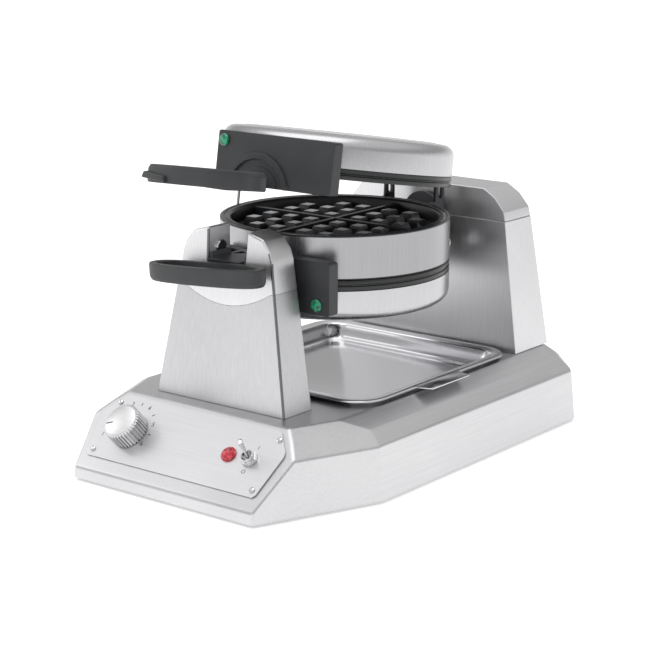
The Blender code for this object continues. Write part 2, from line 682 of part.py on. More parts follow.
def handle_block(name, side, home):
    """The plastic front of a lid, hollowed to fit the drum, with a stepped half-round boss over the axle."""
    low, high = (BLOCK_LOW, BLOCK_HIGH) if side > 0 else (-1.9, 45.0)
    outline = rounded_rectangle(BLOCK_LEFT, BLOCK_RIGHT, low, high, 2.5, 2)
    front = [(x, BLOCK_FACE, AXIS_Z + side * z) for x, z in outline]
    rear = [(x, BLOCK_FACE + 34.0, z) for x, _, z in front]
    block = make(name, loft(front, rear), BLACK)
    drum = moved(rod(RADIUS + 0.5, -80, 80, 96), unit_place())
    cut(block, drum)
    behind = box(-120, 120, BLOCK_FACE + 12.0, 60, AXIS_Z - 100, AXIS_Z + 100)
    cut(block, behind)
    # The boss steps down around the axle: an arch, then a cleared half round under it.
    face_up = along_y(0, BLOCK_FACE, AXIS_Z)
    ridge = turned([(29.5, -2), (36.5, -2), (35.5, 2.4), (30.5, 2.4)], 40)
    hub = turned([(0, -2), (24.5, -2), (23.5, 1.6), (0, 1.6)], 32, closed=False)
    arch = moved(joined(ridge, hub), face_up)
    half = box(-60, 60, BLOCK_FACE - 20, BLOCK_FACE + 20, *sorted((AXIS_Z + side * low, AXIS_Z + side * 80)))
    piece = make("arch", arch, BLACK)
    combine(piece, half, "INTERSECT")
    solid = bmesh.new()
    solid.from_mesh(piece.data)
    bmesh.ops.scale(solid, vec=(1 / MM,) * 3, verts=solid.verts)
    bpy.data.objects.remove(piece, do_unlink=True)
    combine(block, solid, "UNION")
    if side < 0:
        cut(block, box(-19.5, 19.5, BLOCK_FACE - 5, BLOCK_FACE + 20, AXIS_Z - 2.5, AXIS_Z + 10))
    home(block)


def arm_and_ring(name, side, twist, low, home):
    """A handle: a half-round arm through the notch, and the long oval ring that the hand takes."""
    near, far = BLOCK_FACE - 2.0, -148.0
    arc = [math.radians(a) for a in range(0, 181, 20)]
    flat = 2.5
    arm = [(ARM_RADIUS * math.cos(a), flat + (ARM_RADIUS - 1.0) * math.sin(a)) for a in arc]
    front = [(x, far, AXIS_Z + side * z) for x, z in arm]
    handle = make(name, loft(front, [(x, near, z) for x, _, z in front]), BLACK)
    half_length, ring_front, ring_rear = 63.5, -176.5, -145.8
    middle, half_depth = (ring_front + ring_rear) / 2, (ring_rear - ring_front) / 2
    outer, inner = [], []
    for i in range(36):
        a = 2 * math.pi * i / 36
        c, s = math.cos(a), math.sin(a)
        bow = math.copysign(abs(c) ** 0.75, c)
        rise = math.copysign(abs(s) ** 0.75, s)
        outer.append((half_length * bow, middle + half_depth * rise))
        inner.append(((half_length - 7.5) * bow, middle + (half_depth - 5.0) * rise))
    high = low + RING_HEIGHT
    rows_at = [(outer, 0.985, low), (outer, 1.0, low + 1.2), (outer, 1.0, high - 3.5), (outer, 0.96, high),
               (inner, 1.04, high), (inner, 1.0, high - 2), (inner, 1.0, low + 1), (inner, 1.02, low)]
    bm = bmesh.new()
    rows = []
    for loop, grow, z in rows_at:
        rows.append([bm.verts.new((x * grow, middle + (y - middle) * grow, side * z)) for x, y in loop])
    skin(bm, rows, closed=True)
    bmesh.ops.rotate(bm, cent=(0, 0, 0), matrix=Matrix.Rotation(twist, 3, "Y"), verts=bm.verts)
    bmesh.ops.translate(bm, vec=(0, 0, AXIS_Z), verts=bm.verts)
    combine(handle, bm, "UNION")
    home(handle)


def ready_lamp(name, side, x, home):
    high = (BLOCK_HIGH if side > 0 else 45.0) - 8.5
    profile = [(0, 0.3), (5.6, 0.3), (5.6, 1.1), (4.6, 2.0), (0, 2.6)]
    place = along_y(x, BLOCK_FACE, AXIS_Z + side * high)
    home(make(name, turned(profile, 18, closed=False), GREEN, place))


def stay_wire(name, home):
    """A thin wire that hangs from the lid's rim down the left of the housings."""
    x, y = -109.6, 13.0
    wire = make(name, rod(1.3, -25, 27, 8), CHROME, Matrix.Translation((x, y, AXIS_Z)))
    peg = moved(rod(1.0, 0, 3.1, 8), along_x(x, y, AXIS_Z + 25))
    home(combine(wire, peg, "UNION"))


def hinge_knuckle(name, side, home):
    """The lid's rear arm, bored for the hinge pin."""
    start = UNIT_Y + RADIUS + 0.6
    z = PIVOT_Z
    eye = [(PIVOT_Y - 5, z - 5), (PIVOT_Y, z - 7), (PIVOT_Y + 5, z - 5), (PIVOT_Y + 7, z),
           (PIVOT_Y + 5, z + 8)]
    profile = [(start, LID_RIM + 4)] + eye + [(start + 3, LID_RIM + 22), (start, LID_RIM + 22)]
    loop = [(-24, y, AXIS_Z + side * h) for y, h in profile]
    knuckle = make(name, loft(loop, [(24, y, h) for _, y, h in loop]), CAST)
    bore = moved(rod(3.3, -60, 60, 16), along_x(0, PIVOT_Y, AXIS_Z + side * z))
    cut(knuckle, bore)
    home(knuckle)


def hinge_pin(name, side):
    lift = LID_FLOAT if side > 0 else 0
    profile = [(0, -40), (5.8, -40), (5.8, -32.5), (3, -32.5), (3, 32.5), (5.8, 32.5), (5.8, 40), (0, 40)]
    place = along_x(0, PIVOT_Y, AXIS_Z + side * PIVOT_Z + lift)
    make(name, turned(profile, 16, closed=False), CHROME, place)


def lid(word, side, lamp_x, twist, ring_low):
    home = lid_home(side)
    lid_shell(f"{word}_lid_shell", side, home)
    lid_ring(f"{word}_lid_ring", side, home)
    lid_grid(f"{word}_lid_grid", side, home)
    heater(f"{word}_lid_heater", side * (FACE + LID_GAP + CAVITY_DEPTH + 6.0), home)
    handle_block(f"{word}_handle_block", side, home)
    arm_and_ring(f"{word}_handle", side, -twist, ring_low, home)
    ready_lamp(f"{word}_ready_lamp", side, lamp_x, home)
    hinge_knuckle(f"{word}_hinge_knuckle", side, home)
    hinge_pin(f"{word}_hinge_pin", side)
    return home


def main():
    clear_scene()
    base_cover()
    bottom_plate()
    for number, (x, y) in enumerate(((-96, -185), (96, -185), (-120, 185), (120, 185)), 1):
        foot(number, x, y)
    tray_well()
    drip_tray()
    control_panel()
    for number, place in enumerate(SCREWS_AT, 1):
        panel_screw(number, place)
    dial_knob()
    thermostat()
    power_lamp()
    switch_body()
    switch_lever()
    inlet_gland()
    front_pylon()
    front_pylon_cap()
    front_saddle()
    rear_pylon_piece("rear_pylon", [], [(REAR_SEAM - GAP / 2, 300)])
    rear_pylon_piece("rear_pylon_cap", [(0, REAR_SEAM + GAP / 2)], [])
    rear_bearing()
    middle_band()
    middle_grid("upper_middle_grid", 1)
    middle_grid("lower_middle_grid", -1)
    heater("middle_heater", 0.0, lambda obj: obj)
    front_tongue()
    rear_axle()
    hinge_bracket("top_hinge_bracket", 1)
    hinge_bracket("bottom_hinge_bracket", -1)
    stay_wire("top_stay_wire", lid("top", 1, -41.0, TOP_TWIST, TOP_RING_LOW))
    lid("bottom", -1, 67.5, BOTTOM_TWIST, BOTTOM_RING_LOW)


main()
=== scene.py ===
# Double rotary waffle maker in brushed stainless steel, dark moulded handles, cast non-stick grids.
import math

import bmesh
import bpy
from mathutils import Matrix, Vector
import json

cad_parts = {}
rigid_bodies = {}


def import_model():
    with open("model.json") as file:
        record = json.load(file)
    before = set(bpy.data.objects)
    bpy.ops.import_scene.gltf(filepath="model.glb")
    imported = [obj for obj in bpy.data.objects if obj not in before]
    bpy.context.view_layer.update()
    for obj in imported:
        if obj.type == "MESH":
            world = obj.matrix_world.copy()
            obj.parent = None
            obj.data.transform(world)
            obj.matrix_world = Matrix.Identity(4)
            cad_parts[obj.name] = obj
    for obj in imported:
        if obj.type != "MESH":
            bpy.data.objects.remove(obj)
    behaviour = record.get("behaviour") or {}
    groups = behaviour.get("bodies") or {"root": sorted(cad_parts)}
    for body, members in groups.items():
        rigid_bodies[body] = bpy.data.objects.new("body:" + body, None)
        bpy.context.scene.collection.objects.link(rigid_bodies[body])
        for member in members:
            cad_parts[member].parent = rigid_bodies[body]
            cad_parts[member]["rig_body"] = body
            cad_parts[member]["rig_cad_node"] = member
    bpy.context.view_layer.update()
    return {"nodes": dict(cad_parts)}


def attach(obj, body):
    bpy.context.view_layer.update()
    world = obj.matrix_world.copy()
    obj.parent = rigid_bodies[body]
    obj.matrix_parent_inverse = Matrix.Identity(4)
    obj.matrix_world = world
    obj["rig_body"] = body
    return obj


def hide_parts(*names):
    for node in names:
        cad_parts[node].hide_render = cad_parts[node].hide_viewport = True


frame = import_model()
nodes = frame["nodes"]
mm = 0.001
print("frame loaded:", len(nodes), "nodes")


def deselectAll():
    if bpy.context.mode != "OBJECT":
        bpy.ops.object.mode_set(mode="OBJECT")
    for thing in bpy.context.selected_objects:
        thing.select_set(False)


def makeActive(obj):
    deselectAll()
    obj.select_set(True)
    bpy.context.view_layer.objects.active = obj


def toColour(code):
    # sRGB hex to the linear values the shader takes
    parts = [int(code[i:i + 2], 16) / 255 for i in (1, 3, 5)]
    return [c / 12.92 if c <= 0.04045 else ((c + 0.055) / 1.055) ** 2.4 for c in parts] + [1.0]


def addNode(tree, kind, settings=None, values=None, links=None):
    node = tree.nodes.new(kind)
    for key, value in (settings or {}).items():
        setattr(node, key, value)
    for key, value in (values or {}).items():
        node.inputs[key].default_value = value
    for key, source in (links or {}).items():
        tree.links.new(source, node.inputs[key])
    return node


def startMaterial(name, colour, roughness, metallic=0.0, **sockets):
    material = bpy.data.materials.new(name)
    material.use_nodes = True
    tree = material.node_tree
    shader = tree.nodes["Principled BSDF"]
    shader.inputs["Base Color"].default_value = toColour(colour)
    shader.inputs["Roughness"].default_value = roughness
    shader.inputs["Metallic"].default_value = metallic
    for key, value in sockets.items():
        shader.inputs[key.replace("_", " ")].default_value = value
    return material, tree, shader


def setSteps(ramp, stops):
    # stops are (place, hex colour)
    elements = ramp.color_ramp.elements
    while len(elements) < len(stops):
        elements.new(0.5)
    for element, (place, code) in zip(elements, stops):
        element.position = place
        element.color = toColour(code)


def setGreys(ramp, stops):
    elements = ramp.color_ramp.elements
    while len(elements) < len(stops):
        elements.new(0.5)
    for element, (place, grey) in zip(elements, stops):
        element.position = place
        element.color = (grey, grey, grey, 1)


def brushedSteel(name, along, tone, gloss):
    # sheet brushed on a belt: fine straight scratches, so it has soft streaks along the brushing
    material, tree, shader = startMaterial(name, tone[1], gloss[0], 1.0)
    place = addNode(tree, "ShaderNodeTexCoord")
    long, across = 14, 900  # streaks of about 70 mm, 1.1 mm apart
    stretch = [long if letter == along else across for letter in "xyz"]
    fine = addNode(tree, "ShaderNodeMapping", values={"Scale": stretch},
                   links={"Vector": place.outputs["Object"]})
    streaks = addNode(tree, "ShaderNodeTexNoise", values={"Scale": 1.0, "Detail": 3.0, "Roughness": 0.6},
                      links={"Vector": fine.outputs["Vector"]})
    clouds = addNode(tree, "ShaderNodeTexNoise", values={"Scale": 9.0, "Detail": 2.0},
                     links={"Vector": place.outputs["Object"]})
    both = addNode(tree, "ShaderNodeMix", {"data_type": "FLOAT"}, {"Factor": 0.45},
                   {"A": streaks.outputs["Fac"], "B": clouds.outputs["Fac"]})
    tint = addNode(tree, "ShaderNodeValToRGB", links={"Fac": both.outputs["Result"]})
    setSteps(tint, [(0.3, tone[0]), (0.7, tone[2])])
    shine = addNode(tree, "ShaderNodeMapRange",
                    values={"From Min": 0.3, "From Max": 0.7, "To Min": gloss[0], "To Max": gloss[1]},
                    links={"Value": both.outputs["Result"]})
    bump = addNode(tree, "ShaderNodeBump", values={"Strength": 0.05, "Distance": 0.00003},
                   links={"Height": streaks.outputs["Fac"]})
    tree.links.new(tint.outputs["Color"], shader.inputs["Base Color"])
    tree.links.new(shine.outputs["Result"], shader.inputs["Roughness"])
    tree.links.new(bump.outputs["Normal"], shader.inputs["Normal"])
    return material


def grainedPlastic(name, dark, light, roughness, grain, height):
    # moulded, coated or cast surfaces: an even matt grain, with faint lighter clouds from handling
    material, tree, shader = startMaterial(name, dark, roughness)
    place = addNode(tree, "ShaderNodeTexCoord")
    pits = addNode(tree, "ShaderNodeTexNoise", values={"Scale": 1 / (grain * mm), "Detail": 2.0},
                   links={"Vector": place.outputs["Object"]})
    clouds = addNode(tree, "ShaderNodeTexNoise", values={"Scale": 22.0, "Detail": 4.0},
                     links={"Vector": place.outputs["Object"]})
    tint = addNode(tree, "ShaderNodeValToRGB", links={"Fac": clouds.outputs["Fac"]})
    setSteps(tint, [(0.35, dark), (0.7, light)])
    shine = addNode(tree, "ShaderNodeMapRange",
                    values={"To Min": roughness - 0.07, "To Max": roughness + 0.08},
                    links={"Value": clouds.outputs["Fac"]})
    bump = addNode(tree, "ShaderNodeBump", values={"Strength": 0.35, "Distance": height * mm},
                   links={"Height": pits.outputs["Fac"]})
    tree.links.new(tint.outputs["Color"], shader.inputs["Base Color"])
    tree.links.new(shine.outputs["Result"], shader.inputs["Roughness"])
    tree.links.new(bump.outputs["Normal"], shader.inputs["Normal"])
    return material


def plainMetal(name, colour, roughness, spread):
    # plated or polished metal: clear reflections, with a faint uneven haze from handling
    material, tree, shader = startMaterial(name, colour, roughness, 1.0)
    place = addNode(tree, "ShaderNodeTexCoord")
    haze = addNode(tree, "ShaderNodeTexNoise", values={"Scale": 30.0, "Detail": 3.0},
                   links={"Vector": place.outputs["Object"]})
    shine = addNode(tree, "ShaderNodeMapRange", values={"To Min": roughness, "To Max": roughness + spread},
                    links={"Value": haze.outputs["Fac"]})
    tree.links.new(shine.outputs["Result"], shader.inputs["Roughness"])
    return material


def lampLens(name, dark, light):
    # moulded polycarbonate lens: glossy and full of colour, mottled by the facets inside
    material, tree, shader = startMaterial(name, dark, 0.12, Coat_Weight=0.6, Coat_Roughness=0.05)
    place = addNode(tree, "ShaderNodeTexCoord")
    depth = addNode(tree, "ShaderNodeTexNoise", values={"Scale": 260.0, "Detail": 1.0},
                    links={"Vector": place.outputs["Object"]})
    tint = addNode(tree, "ShaderNodeValToRGB", links={"Fac": depth.outputs["Fac"]})
    setSteps(tint, [(0.38, dark), (0.62, light)])
    tree.links.new(tint.outputs["Color"], shader.inputs["Base Color"])
    return material


# steel tones are (dark streak, middle, light streak); a gloss is (least, most) roughness. The stainless
# pieces are one steel, but each is given its own tone as painted light and shade: the cap lightest, then the
# rear upright, the deck, the front upright and the lids, the round band darkest
satin, coarse = (0.32, 0.40), (0.38, 0.46)
steelTones = {
    "upright": ("#b9b9bb", "#c3c3c5", "#cdcdcf"),
    "rear": ("#cfcfd1", "#d8d8da", "#e1e1e2"),
    "cap": ("#d8d8da", "#e0e0e2", "#e8e8e9"),
    "deck": ("#c6c6c8", "#cfcfd1", "#d8d8d9"),
    "lids": ("#b8b8ba", "#bfbfc1", "#c6c6c8"),
    "band": ("#9e9ea0", "#a5a5a7", "#acacae"),
    "panel": ("#cfcfd1", "#d6d6d8", "#dcdcde"),
    "knob": ("#dadadb", "#e2e2e3", "#eaeaeb"),
}
finishes = {
    # the stainless finishes below carry those per-piece tones of painted light and shade
    "uprightSteel": brushedSteel("stainless brushed upright", "z", steelTones["upright"], satin),
    "rearSteel": brushedSteel("stainless brushed rear upright", "z", steelTones["rear"], satin),
    "capSteel": brushedSteel("stainless brushed cap", "z", steelTones["cap"], satin),
    # a darker steel for the pylon's right front bend: a painted dark reflection
    "bendPaintedReflection": plainMetal("stainless with painted dark reflection at the bend", "#77787a", 0.22, 0.10),
    "deckSteel": brushedSteel("stainless brushed along the deck", "y", steelTones["deck"], (0.30, 0.38)),
    "roundSteel": brushedSteel("stainless brushed round lids", "z", steelTones["lids"], (0.24, 0.30)),
    "bandSteel": brushedSteel("stainless brushed round band", "z", steelTones["band"], (0.26, 0.32)),
    "blackSteel": grainedPlastic("black oxide steel", "#232425", "#303133", 0.36, 0.6, 0.02),
    "gasket": grainedPlastic("silicone gasket black", "#1f2021", "#2b2c2d", 0.28, 0.8, 0.01),
    "traySteel": plainMetal("stainless bright annealed", "#d6d6d8", 0.10, 0.10),
    "printedPanel": brushedSteel("aluminium satin panel", "x", steelTones["panel"], coarse),
    "knobMetal": plainMetal("aluminium turned satin", "#d9d9da", 0.26, 0.10),
    "knobFace": brushedSteel("aluminium spun face", "x", steelTones["knob"], (0.34, 0.42)),
    "chrome": plainMetal("chrome plate", "#e0e0e1", 0.06, 0.06),
    "plateSteel": plainMetal("zinc plated sheet", "#8e8f92", 0.38, 0.12),
    "heaterSheath": plainMetal("oxidised heater sheath", "#5a5650", 0.5, 0.15),
    "phenolic": grainedPlastic("phenolic moulding charcoal", "#27282a", "#333436", 0.44, 0.5, 0.03),
    "nylon": grainedPlastic("nylon moulding grey", "#56575a", "#636468", 0.44, 0.7, 0.03),
    "rubber": grainedPlastic("rubber moulding black", "#1d1d1e", "#29292a", 0.8, 0.6, 0.05),
    "nonStick": grainedPlastic("ptfe coat on cast aluminium", "#27282a", "#333437", 0.32, 0.9, 0.04),
    # bright metal on the peg tops: a painted highlight
    "pegTopPaintedHighlight": plainMetal("cast aluminium with painted highlight", "#c9cacd", 0.24, 0.12),
    "ink": grainedPlastic("screen print ink", "#2a2a2c", "#343436", 0.5, 0.8, 0.01),
    "redLens": lampLens("polycarbonate lens red", "#a80f22", "#d8283e"),
    "greenLens": lampLens("polycarbonate lens green", "#06573c", "#1f9f74"),
}
print("materials:", len(finishes))


def useFinish(obj, finish):
    obj.data.materials.clear()
    obj.data.materials.append(finishes[finish])


def isThin(face):
    longest = max(edge.calc_length() for edge in face.edges)
    return face.calc_area() / longest < 2.4 * mm


def evenShading(obj):
    # flat faces keep their own normals, so a rounded edge doesn't bend the light across them
    even = obj.modifiers.new("even shading", "WEIGHTED_NORMAL")
    even.keep_sharp = True
    bpy.ops.object.modifier_apply(modifier="even shading")


def isPegTop(face):
    # the pegs' flat tops, given a painted highlight: each is about 110 mm2
    least, most = 20 * mm ** 2, 150 * mm ** 2
    return abs(face.normal.z) > 0.98 and least < face.area < most


def isPaintedReflectionBend(face):
    # the fold at the pylon's right front corner only, which is given a painted dark reflection
    return abs(face.normal.z) < 0.25 and 0.3 < face.normal.x < 0.95 and face.normal.y < -0.3


# second finishes: a painted dark reflection on the pylons' front right bend, a painted highlight on the pegs'
# tops
secondFinish = {"upper_middle_grid": ("pegTopPaintedHighlight", isPegTop), "lower_middle_grid": ("pegTopPaintedHighlight", isPegTop),
                "front_pylon": ("bendPaintedReflection", isPaintedReflectionBend), "front_pylon_cap": ("bendPaintedReflection", isPaintedReflectionBend)}


def softened(node, finish, radius, least=20, most=115, segments=2, angle=35):
    # a copy of a CAD node with its outer bends rounded
    obj = nodes[node].copy()
    obj.data = nodes[node].data.copy()
    obj.name = node + "_soft"
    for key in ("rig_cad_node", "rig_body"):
        if key in obj:
            del obj[key]
    obj.parent = None
    obj.matrix_world = Matrix.Identity(4)
    bpy.context.scene.collection.objects.link(obj)
    makeActive(obj)
    bpy.ops.object.mode_set(mode="EDIT")
    bpy.ops.mesh.select_mode(type="EDGE")
    bpy.ops.mesh.select_all(action="SELECT")
    bpy.ops.mesh.remove_doubles(threshold=0.00002)
    bpy.ops.mesh.dissolve_limited(angle_limit=math.radians(1.5))
    bpy.ops.mesh.select_all(action="DESELECT")
    mesh = bmesh.from_edit_mesh(obj.data)
    count = 0
    for edge in mesh.edges:
        if len(edge.link_faces) != 2:
            continue
        bend = math.degrees(edge.calc_face_angle_signed(0))
        if least < bend < most and not any(isThin(face) for face in edge.link_faces):
            edge.select_set(True)
            count += 1
    bmesh.update_edit_mesh(obj.data)
    if count:
        bpy.ops.mesh.bevel(offset=radius * mm, segments=segments, clamp_overlap=True, affect="EDGES")
    bpy.ops.object.mode_set(mode="OBJECT")
    bpy.ops.object.shade_smooth_by_angle(angle=math.radians(angle))
    evenShading(obj)
    useFinish(obj, finish)
    if node in secondFinish:
        secondName, belongs = secondFinish[node]
        obj.data.materials.append(finishes[secondName])
        for face in obj.data.polygons:
            if belongs(face):
                face.material_index = 1
    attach(obj, nodes[node]["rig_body"])
    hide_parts(node)
    return obj


def turnedForm(name, centre, profile, steps=160, closed=True):
    # a ring of edges drawn out again and again along a profile of (radius, height)
    radius, height = profile[0]
    deselectAll()
    bpy.ops.mesh.primitive_circle_add(vertices=steps, radius=radius * mm, fill_type="NOTHING",
                                      location=(centre[0] * mm, centre[1] * mm, (centre[2] + height) * mm))
    obj = bpy.context.object
    obj.name = name
    bpy.ops.object.mode_set(mode="EDIT")
    bpy.ops.mesh.select_all(action="SELECT")
    path = list(profile[1:]) + ([profile[0]] if closed else [])
    for nextRadius, nextHeight in path:
        bpy.ops.mesh.extrude_edges_move(TRANSFORM_OT_translate={"value": (0, 0, (nextHeight - height) * mm)})
        middle = (centre[0] * mm, centre[1] * mm, (centre[2] + nextHeight) * mm)
        scale = max(nextRadius, 0.0001) / radius
        bpy.ops.transform.resize(value=(scale, scale, 1), center_override=middle)
        radius, height = max(nextRadius, 0.0001), nextHeight
    bpy.ops.mesh.select_all(action="SELECT")
    bpy.ops.mesh.remove_doubles(threshold=0.000005)
    bpy.ops.mesh.select_all(action="SELECT")
    bpy.ops.mesh.normals_make_consistent(inside=False)
    bpy.ops.object.mode_set(mode="OBJECT")
    bpy.ops.object.transform_apply(location=True, rotation=True, scale=True)
    return obj


def finishPiece(obj, finish, body, replaced=(), smooth=35):
    makeActive(obj)
    bpy.ops.object.transform_apply(location=True, rotation=True, scale=True)
    bpy.ops.object.shade_smooth_by_angle(angle=math.radians(smooth))
    useFinish(obj, finish)
    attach(obj, body)
    if replaced:
        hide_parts(*replaced)
    return obj


def moveMesh(obj, matrix):
    obj.data.transform(matrix)
    obj.data.update()


# where the open lid hangs: its pin is raised in the slot and it is tilted
unit = {"axis": 195.6, "y": 17.5, "radius": 106.0, "face": 19.7}
hinge = {"y": 142.5, "z": 23.0, "lift": 15.2, "open": 9.4}
lidTurn = (Matrix.Translation(Vector((0, hinge["y"], unit["axis"] + hinge["z"] + hinge["lift"])) * mm)
           @ Matrix.Rotation(math.radians(-hinge["open"]), 4, "X")
           @ Matrix.Translation(Vector((0, -hinge["y"], -unit["axis"] - hinge["z"])) * mm))
unitCentre = (0, unit["y"], unit["axis"])

# base, pylons and what stands on them
softNodes = [  # node, finish, radius of its rounded bends
    ("base_cover", "deckSteel", 2.2), ("front_pylon", "uprightSteel", 1.8),
    ("front_pylon_cap", "capSteel", 1.8), ("rear_pylon", "rearSteel", 2.2),
    ("rear_pylon_cap", "rearSteel", 2.2), ("bottom_plate", "plateSteel", 0.4),
    ("tray_well", "traySteel", 0.5), ("control_panel", "printedPanel", 0.3),
    ("front_saddle", "nylon", 0.6), ("front_tongue", "nonStick", 0.7),
    ("top_hinge_knuckle", "blackSteel", 1.0), ("bottom_hinge_knuckle", "blackSteel", 1.0),
    ("top_hinge_bracket", "blackSteel", 0.6), ("bottom_hinge_bracket", "blackSteel", 0.6),
    ("upper_middle_grid", "nonStick", 0.35), ("lower_middle_grid", "nonStick", 0.35),
    ("top_lid_grid", "nonStick", 0.35), ("bottom_lid_grid", "nonStick", 0.35),
    ("top_handle", "phenolic", 0.9), ("bottom_handle", "phenolic", 0.9),
    ("top_handle_block", "phenolic", 1.5), ("bottom_handle_block", "phenolic", 1.5),
    ("dial_knob", "knobMetal", 0.3), ("switch_body", "chrome", 0.3),
]
for node, finish, radius in softNodes:
    softened(node, finish, radius, least=12 if node == "base_cover" else 20)
print("softened nodes done")

keptNodes = {  # nodes whose shape stays, by finish
    "rubber": ["foot_1", "foot_2", "foot_3", "foot_4", "inlet_gland"],
    "chrome": ["panel_screw_1", "panel_screw_2", "panel_screw_3", "panel_screw_4", "thermostat",
               "switch_lever", "rear_axle", "top_hinge_pin", "bottom_hinge_pin"],
    "redLens": ["power_lamp"],
    "greenLens": ["top_ready_lamp", "bottom_ready_lamp"],
    "nylon": ["rear_bearing"],
    "heaterSheath": ["middle_heater", "top_lid_heater", "bottom_lid_heater"],
    "plateSteel": ["top_stay_wire"],
}
for finish, names in keptNodes.items():
    for name in names:
        useFinish(nodes[name], finish)
print("kept nodes finished")

# round housings
band = {"high": 18.3, "wall": 1.4}
middleBand = turnedForm("middle_housing", unitCentre, [
    (unit["radius"], -band["high"]), (unit["radius"], band["high"]),
    (unit["radius"] - band["wall"], band["high"]), (unit["radius"] - band["wall"], -band["high"])])
finishPiece(middleBand, "bandSteel", "grid_unit", ["middle_band"])

lidShell = {"profile": [(106.0, 29.9), (106.0, 46.8), (105.6, 49.6), (104.5, 52.2), (102.7, 54.4),
                        (100.4, 56.1), (97.6, 57.2), (94.0, 57.7), (89.5, 57.8), (88.2, 58.1),
                        (87.0, 58.4), (40.0, 58.4), (0, 58.4)],
            "inside": [(104.7, 29.9), (104.7, 46.8), (100.0, 54.6), (94.0, 56.4), (0, 56.8)]}
lidRing = {"profile": [(105.6, 20.6), (105.8, 21.1), (105.8, 23.6), (105.2, 24.1), (104.6, 24.5),
                       (104.6, 25.1), (105.2, 25.5), (105.8, 26.0), (105.8, 29.1), (105.4, 29.6),
                       (103.2, 29.6), (103.2, 20.1), (105.0, 20.1)]}
for word, side, body in (("top", 1, "top_lid"), ("bottom", -1, "bottom_lid")):
    # the upper lid is made closed and then raised; the lower one is its mirror
    path = list(reversed(lidShell["profile"])) + lidShell["inside"]
    shell = turnedForm(word + "_lid_drum", unitCentre, [(max(r, 0.0001), side * z) for r, z in path],
                       closed=False)
    rim = turnedForm(word + "_lid_band", unitCentre, [(r, side * z) for r, z in lidRing["profile"]])
    if side > 0:
        moveMesh(shell, lidTurn)
        moveMesh(rim, lidTurn)
    finishPiece(shell, "roundSteel", body, [word + "_lid_shell"])
    finishPiece(rim, "gasket", body, [word + "_lid_ring"])
print("round housings done")

# thumb lip on the front of the left end of the upper handle, following the handle's curve
lip = {"at": (-47.0, -169.4, 270.2), "size": (32.0, 11.0, 5.6), "turn": -9.5, "twist": 2.0,
       "narrow": 0.86, "round": 1.1}
deselectAll()
bpy.ops.mesh.primitive_cube_add(size=1, location=(0, 0, 0))
thumbLip = bpy.context.object
thumbLip.name = "top_handle_lip"
thumbLip.scale = [side * mm for side in lip["size"]]
bpy.ops.object.transform_apply(location=True, rotation=True, scale=True)
bpy.ops.object.mode_set(mode="EDIT")
bpy.ops.mesh.select_all(action="DESELECT")
lipMesh = bmesh.from_edit_mesh(thumbLip.data)
for vertex in lipMesh.verts:
    vertex.select_set(vertex.co.z > 0)
lipMesh.select_flush(True)
bmesh.update_edit_mesh(thumbLip.data)
bpy.ops.transform.resize(value=(lip["narrow"], lip["narrow"], 1), center_override=(0, 0, 0))
bpy.ops.mesh.select_all(action="SELECT")
bpy.ops.mesh.bevel(offset=lip["round"] * mm, segments=3, affect="EDGES")
bpy.ops.object.mode_set(mode="OBJECT")
moveMesh(thumbLip, Matrix.Translation(Vector(lip["at"]) * mm)
         @ Matrix.Rotation(math.radians(lip["twist"]), 4, "Y")
         @ Matrix.Rotation(math.radians(lip["turn"]), 4, "Z"))
finishPiece(thumbLip, "phenolic", "top_lid")

# drip tray: one sheet, pressed in steps from its rolled rim down to the floor
tray = {"width": 224.0, "front": -83.0, "rear": 154.0, "edge": 73.3, "corner": 30.0, "sheet": 1.0,
        "steps": [(0.5, 1.2), (1.3, 0.5), (5.4, 0.0), (1.0, -0.5), (1.0, 0.0), (1.6, -0.6), (1.6, -2.0),
                  (1.7, -4.0), (1.7, -4.6), (1.8, -3.0), (2.0, -1.4), (2.6, -0.4)],
        "tabFrom": -5.0, "tabTo": 57.0, "tabReach": 127.0, "tabHigh": 74.3, "tabThick": 1.2,
        "tabNarrow": 0.84}
deselectAll()
trayMiddle = (tray["front"] + tray["rear"]) / 2
bpy.ops.mesh.primitive_plane_add(size=1, location=(0, trayMiddle * mm, tray["edge"] * mm))
dripTray = bpy.context.object
dripTray.name = "drip_tray_pressed"
dripTray.scale = (tray["width"] * mm, (tray["rear"] - tray["front"]) * mm, 1)
bpy.ops.object.transform_apply(location=True, rotation=True, scale=True)
bpy.ops.object.mode_set(mode="EDIT")
bpy.ops.mesh.select_all(action="SELECT")
bpy.ops.mesh.bevel(offset=tray["corner"] * mm, segments=12, affect="VERTICES")
bpy.ops.mesh.select_mode(type="FACE")
bpy.ops.mesh.select_all(action="SELECT")
for inward, rise in tray["steps"]:
    bpy.ops.mesh.inset(thickness=inward * mm, depth=rise * mm)
bpy.ops.object.mode_set(mode="OBJECT")
wall = dripTray.modifiers.new("sheet", "SOLIDIFY")
wall.thickness = tray["sheet"] * mm
wall.offset = -1
bpy.ops.object.modifier_apply(modifier="sheet")
finishPiece(dripTray, "traySteel", "tray", ["drip_tray"], smooth=50)
